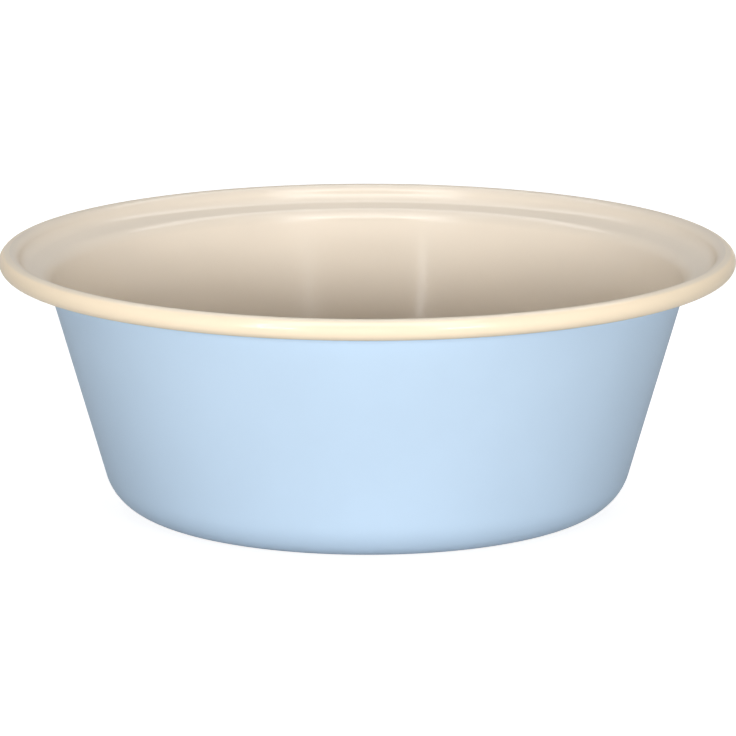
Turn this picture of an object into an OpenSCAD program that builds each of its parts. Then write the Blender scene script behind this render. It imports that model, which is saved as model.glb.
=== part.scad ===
// Enamelled steel basin: one drawn steel shell with a rolled rim, and the glass coats fused to it.
// The shell is a single sheet. Its middle line is followed in the (r, z) half-plane, from the centre of
// the base, round the corner, up the wall, over the shoulder, along the lip and round the bead.
// Every piece is a band of that sheet, between two offsets from the middle line, turned about the Z axis.
// The origin is the centre of the flat that the basin stands on.

/* [Overall] */
// Diameter over the rolled rim
rim_d = 320; // [270:1:400]
// Height from the table to the top of the rim
height = 114; // [80:1:160]

/* [Base and corner] */
// Diameter of the flat that the basin stands on
base_d = 186.5; // [140:0.5:220]
// Radius of the corner between the base and the wall, on the outside
corner_r = 22; // [10:0.5:30]

/* [Lip] */
// Radius of the shoulder where the wall turns out into the lip, at the middle of the sheet
shoulder_r = 7.2; // [4:0.1:11]
// Length of the lip, from the line of the wall to the neck of the bead
lip_l = 8.7; // [7.5:0.1:14]
// Rise of the lip above level, in degrees
lip_a = 18; // [8:1:28]

/* [Bead] */
// Diameter of the rolled bead, over its enamel
bead_d = 9; // [7.5:0.1:12]
// Radius of the neck where the lip turns up into the bead, at the middle of the sheet
neck_r = 7.8; // [5:0.1:11]
// Angle above level at which the neck runs into the inside of the bead, in degrees
neck_a = 20; // [0:1:30]
// Gap between the rolled edge and the neck, under the bead
curl_gap = 0.8; // [0.4:0.1:1.5]

/* [Sheet and enamel] */
// Thickness of the steel sheet
steel_t = 0.8; // [0.5:0.05:1.2]
// Thickness of the dark ground coat on each face of the steel
ground_t = 0.15; // [0.1:0.01:0.2]
// Thickness of the coloured cover coat on each face
cover_t = 0.25; // [0.2:0.01:0.4]
// Angle on the bead at which the rim's own colour starts, up from its outermost line, in degrees
rim_coat_a = 90; // [60:1:100]

/* [Hidden] */
$fn = 144;

// How far a chord may cut inside the bend that it stands for
bend_sag = 0.02;

// Offsets from the middle of the sheet: the steel's face, the ground coat's and the cover coat's
steel_face = steel_t / 2;
ground_face = steel_face + ground_t;
cover_face = ground_face + cover_t;

// Bead: its centre, and the radius of the sheet's middle line in the roll
bead_c = [rim_d / 2 - bead_d / 2, height - bead_d / 2];
roll_r = bead_d / 2 - cover_face;

// Neck: a bend the other way, which lifts the lip into the top of the bead
neck_c = bead_c + (roll_r + neck_r) * ray(180 - neck_a);

// Lip: from the neck inwards to the point where its line crosses the line of the wall
lip_out = neck_c + neck_r * ray(lip_a - 90);
lip_in = lip_out - lip_l * ray(lip_a);

// Wall: touches the corner's bend and runs to that point, leaning out from the vertical
corner_c = [base_d / 2, corner_r];
corner_mid_r = corner_r - cover_face;
wall_reach = lip_in - corner_c;
wall_lean = 90 - atan2(wall_reach.y, wall_reach.x) - asin(corner_mid_r / norm(wall_reach));

// Shoulder: rounds the turn from the wall to the lip
shoulder_turn = 90 - wall_lean - lip_a;
shoulder_trim = shoulder_r * tan(shoulder_turn / 2);
shoulder_c = lip_in - shoulder_trim * ray(90 - wall_lean) + shoulder_r * ray(-wall_lean);

// Rolled edge: it stops short of the neck by the gap, so that the bead stays open underneath
neck_to_edge = neck_r + cover_face + curl_gap;
neck_to_bead = neck_r + roll_r;
edge_a = angle_opposite(neck_to_edge, bead_d / 2, neck_to_bead) - 180 - neck_a;
ground_edge_a = edge_a + along_roll(cover_t);
steel_edge_a = ground_edge_a + along_roll(ground_t);

// The mouth of the roll is the place on the neck that the rolled edge looks at
mouth_a = -neck_a - angle_opposite(bead_d / 2, neck_to_edge, neck_to_bead);

// The sheet's bends in order; each runs on from the one before, straight or at once
corner = bend(corner_c, corner_mid_r, -90, -wall_lean);
shoulder = bend(shoulder_c, shoulder_r, 180 - wall_lean, 90 + lip_a);
neck_below_mouth = bend(neck_c, neck_r, lip_a - 90, mouth_a);
neck_above_mouth = bend(neck_c, neck_r, mouth_a, -neck_a);
roll_inside = bend(bead_c, roll_r, 180 - neck_a, rim_coat_a);
roll_outside = bend(bead_c, roll_r, rim_coat_a, steel_edge_a);
ground_edge = bend(bead_c, roll_r, steel_edge_a, ground_edge_a);
cover_edge = bend(bead_c, roll_r, ground_edge_a, edge_a);

// Stretches of the sheet that carry the coats: the first three start at the centre of the base
base_centre = [[[0, cover_face], ray(90)]];
outside_path = concat(base_centre, corner, shoulder, neck_below_mouth);
inside_path = concat(outside_path, onward(neck_above_mouth), onward(roll_inside));
sheet_path = concat(inside_path, onward(roll_outside));
bead_path = concat(roll_outside, onward(ground_edge));

// Unit vector at an angle from the r axis
function ray(a) = [cos(a), sin(a)];

// Angle of a triangle opposite the side a, between the sides b and c
function angle_opposite(a, b, c) = acos((b * b + c * c - a * a) / (2 * b * c));

// Turn of the roll that takes up a length of the sheet's middle line, in degrees
function along_roll(length) = length / roll_r * 180 / PI;

// A bend of the sheet from the angle a0 to a1: points on the middle line, each with the direction that
// faces into the basin, which is towards the centre where the bend turns anticlockwise
function bend(centre, r, a0, a1) =
    let (
        steps = ceil(abs(a1 - a0) / (2 * acos(1 - bend_sag / r))),
        side = a1 > a0 ? -1 : 1
    )
    [for (i = [0 : steps]) let (a = a0 + (a1 - a0) * i / steps) [centre + r * ray(a), side * ray(a)]];

// A bend without its first point, for one that starts where the last one ended
function onward(path) = [for (i = [1 : len(path) - 1]) path[i]];

// The path moved off the middle line by an offset
function beside(path, offset) = [for (place = path) place[0] + offset * place[1]];

// The points of a list from last to first
function backward(points) = [for (i = [len(points) - 1 : -1 : 0]) points[i]];

// Outline of the sheet's layer between two offsets; a positive offset faces into the basin
module layer(path, low, high) {
    polygon(concat(beside(path, low), backward(beside(path, high))));
}

// Outline of a coat on the positive face that ends by turning round the rolled edge:
// past the path it takes in the stretch "end" as well, from the offset "back" on the other face
module layer_round_edge(path, end, low, high, back) {
    polygon(concat(
        beside(path, low),
        beside(end, back),
        backward(beside(onward(end), high)),
        backward(beside(path, high))
    ));
}

// Drawn steel sheet with its rolled rim
module steel_shell() {
    color("#8d9096")
        rotate_extrude() layer(sheet_path, -steel_face, steel_face);
}

// Dark bonding coat on the inside and over the bead, turned round the rolled edge
module inner_ground_coat() {
    color("#232a3d")
        rotate_extrude()
            layer_round_edge(sheet_path, ground_edge, steel_face, ground_face, -ground_face);
}

// Dark bonding coat on the outside, carried on inside the roll
module outer_ground_coat() {
    color("#1c2233")
        rotate_extrude() layer(sheet_path, -ground_face, -steel_face);
}

// Off-white cover coat of the inside, up to the top of the bead
module inner_enamel() {
    color("#eee5d3")
        rotate_extrude() layer(inside_path, ground_face, cover_face);
}

// Pastel blue cover coat of the outside and the base, up to the mouth of the roll
module outer_enamel() {
    color("#bcd6ee")
        rotate_extrude() layer(outside_path, -cover_face, -ground_face);
}

// Cream cover coat of the outside of the bead, turned round the rolled edge
module rim_enamel() {
    color("#f6e8c8")
        rotate_extrude()
            layer_round_edge(bead_path, cover_edge, ground_face, cover_face, -ground_face);
}

steel_shell();
inner_ground_coat();
outer_ground_coat();
inner_enamel();
outer_enamel();
rim_enamel();
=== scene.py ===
"""Enamel basin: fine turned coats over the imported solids, glossy enamel materials, and a plain studio."""
import math

import bpy
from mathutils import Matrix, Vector


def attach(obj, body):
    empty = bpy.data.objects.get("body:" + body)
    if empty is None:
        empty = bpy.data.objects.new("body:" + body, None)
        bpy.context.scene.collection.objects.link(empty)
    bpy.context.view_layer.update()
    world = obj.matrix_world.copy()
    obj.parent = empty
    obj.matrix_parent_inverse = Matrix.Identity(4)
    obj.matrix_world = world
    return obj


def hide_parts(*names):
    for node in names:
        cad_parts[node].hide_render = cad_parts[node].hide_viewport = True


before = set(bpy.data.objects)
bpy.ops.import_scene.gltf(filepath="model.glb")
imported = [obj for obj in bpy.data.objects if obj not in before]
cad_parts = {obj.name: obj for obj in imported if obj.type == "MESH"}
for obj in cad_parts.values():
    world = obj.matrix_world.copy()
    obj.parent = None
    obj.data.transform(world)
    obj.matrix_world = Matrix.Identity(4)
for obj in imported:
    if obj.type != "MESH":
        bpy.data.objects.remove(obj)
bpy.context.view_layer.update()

# Driving sizes of the basin, in metres and degrees
RIM_D = 0.320
HEIGHT = 0.114
BASE_D = 0.1865
CORNER_R = 0.022
SHOULDER_R = 0.0072
LIP_L = 0.0087
LIP_A = 18.0
BEAD_D = 0.009
NECK_R = 0.0078
NECK_A = 20.0
CURL_GAP = 0.0008
RIM_COAT_A = 90.0
STEEL_T = 0.0008
GROUND_T = 0.00015
COVER_T = 0.00025

# Fineness of the turned meshes: steps round the axis, along the straights and degrees of a bend in a step
TURNS = 256
BASE_STEPS = 8
WALL_STEPS = 24
LIP_STEPS = 4
BEND_STEP = 4.0
SHARP_ANGLE = 40.0
ON_AXIS = 1e-9

# Colours as linear red, green and blue
OFF_WHITE = (0.80, 0.71, 0.595)
BLUE = (0.56, 0.72, 0.89)
CREAM = (0.97, 0.81, 0.595)
THIN_CREAM = (0.84, 0.735, 0.59)
GROUND = (0.016, 0.022, 0.045)
STEEL = (0.27, 0.28, 0.30)

# Depths below the top of the bead at which the cream starts to thin and is thinnest
THIN_FROM = 0.0012
THIN_TO = 0.0001

# Unevenness of a fired coat: colour clouds, slow waves and a fine orange peel
CLOUD_SCALE = 14.0
CLOUD_DETAIL = 3
CLOUD_LOW = 0.3
CLOUD_HIGH = 0.7
CLOUD_SHADE = 0.965
WAVE_SCALE = 28.0
WAVE_DEPTH = 0.00006
PEEL_SCALE = 260.0
PEEL_DEPTH = 0.000006
SKIN_DETAIL = 1

# Roughness of the enamel's body under its coat, of bare steel and of the floor
BODY_ROUGHNESS = 0.6
STEEL_ROUGHNESS = 0.4
FLOOR_ROUGHNESS = 0.9

# Floor: half its width, and its height, a hair below the base so that the two faces don't coincide
FLOOR_REACH = 12.0
FLOOR_Z = -0.0002
FLOOR_GREY = 0.40
FLOOR_GLOW = 0.85

# World light that falls on everything, beside the white that is only seen
AMBIENT = 0.01

# Points that the lamps in front, above and behind aim at, and how far the front ones stand
MIDDLE = (0, 0, 0.07)
MOUTH = (0, 0, 0.1)
BACK_WALL = (0, 0, 0.062)
FRONT_DISTANCE = 4.0

# Camera, placed so that the outline falls where the photograph has it
CAMERA_AT = (0.00025, -2.663, 0.6256)
CAMERA_PITCH = 11.98
CAMERA_LENS = 305.1
CAMERA_SENSOR = 36.0
CAMERA_REACH = 100.0


def ray(angle):
    """Unit vector in the (r, z) half-plane at an angle in degrees from the r axis."""
    return Vector((math.cos(math.radians(angle)), math.sin(math.radians(angle))))


def angle_opposite(a, b, c):
    """Angle of a triangle opposite the side a, in degrees."""
    return math.degrees(math.acos((b * b + c * c - a * a) / (2 * b * c)))


def bend(centre, r, start, end):
    """A bend of the sheet: points on its middle line, each with the direction that faces into the basin."""
    steps = max(1, math.ceil(abs(end - start) / BEND_STEP))
    side = -1 if end > start else 1
    angles = [start + (end - start) * i / steps for i in range(steps + 1)]
    return [(centre + r * ray(a), side * ray(a)) for a in angles]


def straight(start, end, steps):
    """Points between the end of one bend and the start of the next, with the direction they share."""
    return [(start[0].lerp(end[0], i / steps), start[1]) for i in range(1, steps)]


def beside(path, offset):
    """The path moved off the sheet's middle line."""
    return [place + offset * facing for place, facing in path]


# Offsets from the middle of the sheet
STEEL_FACE = STEEL_T / 2
GROUND_FACE = STEEL_FACE + GROUND_T
COVER_FACE = GROUND_FACE + COVER_T

# Bead, neck and lip
bead_c = Vector((RIM_D / 2 - BEAD_D / 2, HEIGHT - BEAD_D / 2))
roll_r = BEAD_D / 2 - COVER_FACE
neck_c = bead_c + (roll_r + NECK_R) * ray(180 - NECK_A)
lip_in = neck_c + NECK_R * ray(LIP_A - 90) - LIP_L * ray(LIP_A)

# Corner, wall and shoulder
corner_c = Vector((BASE_D / 2, CORNER_R))
corner_mid_r = CORNER_R - COVER_FACE
wall_reach = lip_in - corner_c
wall_rise = math.atan2(wall_reach.y, wall_reach.x) + math.asin(corner_mid_r / wall_reach.length)
wall_lean = 90 - math.degrees(wall_rise)
shoulder_trim = SHOULDER_R * math.tan(math.radians(90 - wall_lean - LIP_A) / 2)
shoulder_c = lip_in - shoulder_trim * ray(90 - wall_lean) + SHOULDER_R * ray(-wall_lean)

# Rolled edge, and the mouth of the roll on the neck across from it
neck_to_edge = NECK_R + COVER_FACE + CURL_GAP
neck_to_bead = NECK_R + roll_r
edge_a = angle_opposite(neck_to_edge, BEAD_D / 2, neck_to_bead) - 180 - NECK_A
ground_edge_a = edge_a + math.degrees(COVER_T / roll_r)
mouth_a = -NECK_A - angle_opposite(BEAD_D / 2, neck_to_edge, neck_to_bead)

# Bends of the sheet in order, and the stretches that the coats cover
base_centre = (Vector((0, COVER_FACE)), ray(90))
corner = bend(corner_c, corner_mid_r, -90, -wall_lean)
shoulder = bend(shoulder_c, SHOULDER_R, 180 - wall_lean, 90 + LIP_A)
neck_below_mouth = bend(neck_c, NECK_R, LIP_A - 90, mouth_a)
neck_above_mouth = bend(neck_c, NECK_R, mouth_a, -NECK_A)
roll_inside = bend(bead_c, roll_r, 180 - NECK_A, RIM_COAT_A)
roll_outside = bend(bead_c, roll_r, RIM_COAT_A, ground_edge_a)
cover_edge = bend(bead_c, roll_r, ground_edge_a, edge_a)
outside_path = (
    [base_centre]
    + straight(base_centre, corner[0], BASE_STEPS)
    + corner
    + straight(corner[-1], shoulder[0], WALL_STEPS)
    + shoulder
    + straight(shoulder[-1], neck_below_mouth[0], LIP_STEPS)
    + neck_below_mouth
)
inside_path = outside_path + neck_above_mouth[1:] + roll_inside[1:]


def turned(name, outline):
    """A closed (r, z) outline turned about the Z axis, as one smooth closed mesh."""
    verts = []
    rings = []
    for p in outline:
        if p.x < ON_AXIS:
            rings.append([len(verts)] * TURNS)
            verts.append((0.0, 0.0, p.y))
            continue
        rings.append(list(range(len(verts), len(verts) + TURNS)))
        for i in range(TURNS):
            a = 2 * math.pi * i / TURNS
            verts.append((p.x * math.cos(a), p.x * math.sin(a), p.y))
    faces = []
    for low, high in zip(rings, rings[1:] + rings[:1]):
        for i in range(TURNS):
            j = (i + 1) % TURNS
            corners = list(dict.fromkeys((low[i], low[j], high[j], high[i])))
            if len(corners) > 2:
                faces.append(corners)
    mesh = bpy.data.meshes.new(name)
    mesh.from_pydata(verts, [], faces)
    mesh.update()
    mesh.shade_smooth()
    mesh.set_sharp_from_angle(angle=math.radians(SHARP_ANGLE))
    piece = bpy.data.objects.new(name, mesh)
    bpy.context.collection.objects.link(piece)
    return piece


def new_material(name):
    """An empty material with a Principled shader on its output."""
    material = bpy.data.materials.new(name)
    material.use_nodes = True
    tree = material.node_tree
    tree.nodes.clear()
    out = tree.nodes.new("ShaderNodeOutputMaterial")
    shader = tree.nodes.new("ShaderNodeBsdfPrincipled")
    tree.links.new(shader.outputs["BSDF"], out.inputs["Surface"])
    return material, tree, shader


def object_place(tree):
    """Coordinates fixed to the object, in metres."""
    return tree.nodes.new("ShaderNodeTexCoord").outputs["Object"]


def height(tree):
    """Height above the base."""
    split = tree.nodes.new("ShaderNodeSeparateXYZ")
    tree.links.new(object_place(tree), split.inputs["Vector"])
    return split.outputs["Z"]


def noise(tree, scale, detail):
    """Noise fixed to the object, with features of about 1/scale metres."""
    texture = tree.nodes.new("ShaderNodeTexNoise")
    texture.inputs["Scale"].default_value = scale
    texture.inputs["Detail"].default_value = detail
    tree.links.new(object_place(tree), texture.inputs["Vector"])
    return texture.outputs["Fac"]


def ramp(tree, value, low, high):
    """Smooth step from 0 to 1 as a value goes from low to high."""
    mapped = tree.nodes.new("ShaderNodeMapRange")
    mapped.interpolation_type = "SMOOTHSTEP"
    mapped.inputs["From Min"].default_value = low
    mapped.inputs["From Max"].default_value = high
    tree.links.new(value, mapped.inputs["Value"])
    return mapped.outputs["Result"]


def between(tree, factor, low, high):
    """Colour that goes from low to high as the factor goes from 0 to 1."""
    mix = tree.nodes.new("ShaderNodeMix")
    mix.data_type = "RGBA"
    tree.links.new(factor, mix.inputs["Factor"])
    mix.inputs["A"].default_value = (*low, 1)
    mix.inputs["B"].default_value = (*high, 1)
    return mix.outputs["Result"]


def clouded(tree, colour):
    """A colour that varies a little with the thickness of the fired coat."""
    cloud = ramp(tree, noise(tree, CLOUD_SCALE, CLOUD_DETAIL), CLOUD_LOW, CLOUD_HIGH)
    return between(tree, cloud, [c * CLOUD_SHADE for c in colour], colour)


def glassy_skin(tree, shader):
    """Surface of fired glass: slow waves, and a fine orange peel on top of them."""
    normal = None
    for scale, depth in ((WAVE_SCALE, WAVE_DEPTH), (PEEL_SCALE, PEEL_DEPTH)):
        bump = tree.nodes.new("ShaderNodeBump")
        bump.inputs["Distance"].default_value = depth
        tree.links.new(noise(tree, scale, SKIN_DETAIL), bump.inputs["Height"])
        if normal is not None:
            tree.links.new(normal, bump.inputs["Normal"])
        normal = bump.outputs["Normal"]
    tree.links.new(normal, shader.inputs["Normal"])
    tree.links.new(normal, shader.inputs["Coat Normal"])


def enamel(name, gloss, index, roughness):
    """Fired glass: a matt body under a clear glossy coat."""
    material, tree, shader = new_material(name)
    shader.inputs["Roughness"].default_value = BODY_ROUGHNESS
    shader.inputs["Specular IOR Level"].default_value = 0.0
    shader.inputs["Coat Weight"].default_value = gloss
    shader.inputs["Coat IOR"].default_value = index
    shader.inputs["Coat Roughness"].default_value = roughness
    glassy_skin(tree, shader)
    return material, tree, shader


off_white, tree, shader = enamel("off_white_enamel", gloss=0.26, index=2.0, roughness=0.13)
tree.links.new(clouded(tree, OFF_WHITE), shader.inputs["Base Color"])

blue, tree, shader = enamel("blue_enamel", gloss=0.14, index=2.5, roughness=0.14)
tree.links.new(clouded(tree, BLUE), shader.inputs["Base Color"])

cream, tree, shader = enamel("cream_enamel", gloss=0.3, index=2.0, roughness=0.13)
thinned = ramp(tree, height(tree), HEIGHT - THIN_FROM, HEIGHT - THIN_TO)
tree.links.new(between(tree, thinned, CREAM, THIN_CREAM), shader.inputs["Base Color"])

ground, tree, shader = enamel("ground_enamel", gloss=0.8, index=1.6, roughness=0.15)
tree.links.new(clouded(tree, GROUND), shader.inputs["Base Color"])

steel, tree, shader = new_material("drawn_steel")
shader.inputs["Metallic"].default_value = 1.0
shader.inputs["Roughness"].default_value = STEEL_ROUGHNESS
tree.links.new(clouded(tree, STEEL), shader.inputs["Base Color"])


def coat(name, node, material, outline):
    """A turned cover coat, shown in place of the solid of its node."""
    piece = turned(name, outline)
    piece.data.materials.append(material)
    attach(piece, "root")
    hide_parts(node)


coat(
    "inner_coat", "inner_enamel", off_white,
    beside(inside_path, GROUND_FACE) + beside(inside_path, COVER_FACE)[::-1],
)
coat(
    "outer_coat", "outer_enamel", blue,
    beside(outside_path, -COVER_FACE) + beside(outside_path, -GROUND_FACE)[::-1],
)
coat(
    "rim_coat", "rim_enamel", cream,
    beside(roll_outside, GROUND_FACE) + beside(cover_edge, -GROUND_FACE)
    + beside(cover_edge[1:], COVER_FACE)[::-1] + beside(roll_outside, COVER_FACE)[::-1],
)
for name, material in (
    ("steel_shell", steel),
    ("inner_ground_coat", ground),
    ("outer_ground_coat", ground),
):
    solid = bpy.data.objects[name]
    solid.data.materials.clear()
    solid.data.materials.append(material)


def arithmetic(tree, operation, first, second):
    """A sum on a socket and a number, or on two sockets."""
    node = tree.nodes.new("ShaderNodeMath")
    node.operation = operation
    tree.links.new(first, node.inputs[0])
    if isinstance(second, bpy.types.NodeSocket):
        tree.links.new(second, node.inputs[1])
    else:
        node.inputs[1].default_value = second
    return node.outputs[0]


def white_where_seen(tree, strength):
    """A strength that only camera, glossy and transmission rays meet."""
    path = tree.nodes.new("ShaderNodeLightPath")
    seen = path.outputs["Is Camera Ray"]
    for ray_kind in ("Is Glossy Ray", "Is Transmission Ray"):
        seen = arithmetic(tree, "MAXIMUM", seen, path.outputs[ray_kind])
    return arithmetic(tree, "MULTIPLY", seen, strength)


floor_mesh = bpy.data.meshes.new("floor")
floor_signs = ((-1, -1), (1, -1), (1, 1), (-1, 1))
floor_corners = [(x * FLOOR_REACH, y * FLOOR_REACH, FLOOR_Z) for x, y in floor_signs]
floor_mesh.from_pydata(floor_corners, [], [(0, 1, 2, 3)])
floor = bpy.data.objects.new("floor", floor_mesh)
bpy.context.collection.objects.link(floor)
floor_material, tree, shader = new_material("pale_floor")
shader.inputs["Base Color"].default_value = (FLOOR_GREY, FLOOR_GREY, FLOOR_GREY, 1)
shader.inputs["Roughness"].default_value = FLOOR_ROUGHNESS
shader.inputs["Emission Color"].default_value = (1, 1, 1, 1)
tree.links.new(white_where_seen(tree, FLOOR_GLOW), shader.inputs["Emission Strength"])
floor.data.materials.append(floor_material)

world = bpy.data.worlds.new("studio")
bpy.context.scene.world = world
world.use_nodes = True
tree = world.node_tree
tree.nodes.clear()
out = tree.nodes.new("ShaderNodeOutputWorld")
back = tree.nodes.new("ShaderNodeBackground")
back.inputs["Color"].default_value = (1, 1, 1, 1)
strength = arithmetic(tree, "ADD", white_where_seen(tree, 1 - AMBIENT), AMBIENT)
tree.links.new(strength, back.inputs["Strength"])
tree.links.new(back.outputs["Background"], out.inputs["Surface"])


def panel(name, at, towards, size, radiance, lights=True, mirrored=True):
    """A soft rectangular lamp aimed at a point, which may be left out of the light or the reflections."""
    light = bpy.data.lights.new(name, "AREA")
    light.shape = "RECTANGLE"
    light.size, light.size_y = size
    light.energy = radiance * math.pi * size[0] * size[1]
    lamp = bpy.data.objects.new(name, light)
    lamp.location = at
    lamp.rotation_euler = (Vector(towards) - Vector(at)).to_track_quat("-Z", "Y").to_euler()
    lamp.visible_camera = False
    lamp.visible_diffuse = lights
    lamp.visible_glossy = mirrored
    bpy.context.collection.objects.link(lamp)


def in_front(azimuth, elevation):
    """A place seen from the middle of the basin, with the azimuth measured from straight ahead."""
    level = FRONT_DISTANCE * math.cos(math.radians(elevation))
    across = level * math.sin(math.radians(azimuth))
    ahead = level * math.cos(math.radians(azimuth))
    return (across, -ahead, MIDDLE[2] + FRONT_DISTANCE * math.sin(math.radians(elevation)))


# Broad front light, and on each side a key, a side light, a small light on the bead and a tall card
panel("front_fill", in_front(0, 8), MIDDLE, size=(1.05, 0.56), radiance=39.0, mirrored=False)
for side in (-1, 1):
    panel(f"key_softbox_{side}", in_front(29 * side, 10), MIDDLE, size=(1.05, 0.40), radiance=22.0)
    panel(
        f"side_softbox_{side}", in_front(52 * side, 6), MIDDLE,
        size=(1.05, 0.28), radiance=20.4, mirrored=False,
    )
    panel(
        f"rim_light_{side}", (0.164 * side, -0.176, 0.174), (0.107 * side, -0.115, 0.11),
        size=(0.16, 0.04), radiance=0.75, mirrored=False,
    )
    panel(f"tall_card_{side}", in_front(29 * side, 42), MIDDLE, size=(1.05, 2.40), radiance=3.2, lights=False)

# Narrow cards close over the near rim, which the inside wall reflects as streaks
for side, at, towards, radiance in (
    (-1, (-0.150, -0.306, 0.225), (0.026, 0.127, 0.07), 15.0),
    (1, (0.162, -0.298, 0.225), (-0.028, 0.126, 0.07), 8.0),
):
    panel(f"strip_{side}", at, towards, size=(0.008, 0.085), radiance=radiance, lights=False)

# Light from above, with a card for the highlight on the shoulder
panel("top_softbox", (0, -0.70, 1.15), MOUTH, size=(0.75, 0.25), radiance=3.1)
panel("overhead_softbox", (0, 0.10, 1.50), MOUTH, size=(1.20, 0.50), radiance=1.4)
panel("back_softbox", (0, 0.75, 1.35), MOUTH, size=(1.80, 0.50), radiance=3.1)
panel("highlight_card", (0, -0.45, 1.28), MOUTH, size=(1.00, 0.65), radiance=3.4, lights=False)

# Low light behind, which stays under the rim and so leaves the inside alone
panel("rear_fill", (0, 2.0, 0.062), BACK_WALL, size=(1.60, 0.10), radiance=34.0, mirrored=False)

camera_data = bpy.data.cameras.new("camera")
camera_data.lens = CAMERA_LENS
camera_data.sensor_width = CAMERA_SENSOR
camera_data.clip_end = CAMERA_REACH
camera = bpy.data.objects.new("camera", camera_data)
camera.location = CAMERA_AT
camera.rotation_euler = (math.radians(90 - CAMERA_PITCH), 0, 0)
bpy.context.collection.objects.link(camera)
bpy.context.scene.camera = camera
bpy.context.scene.view_settings.view_transform = "Standard"
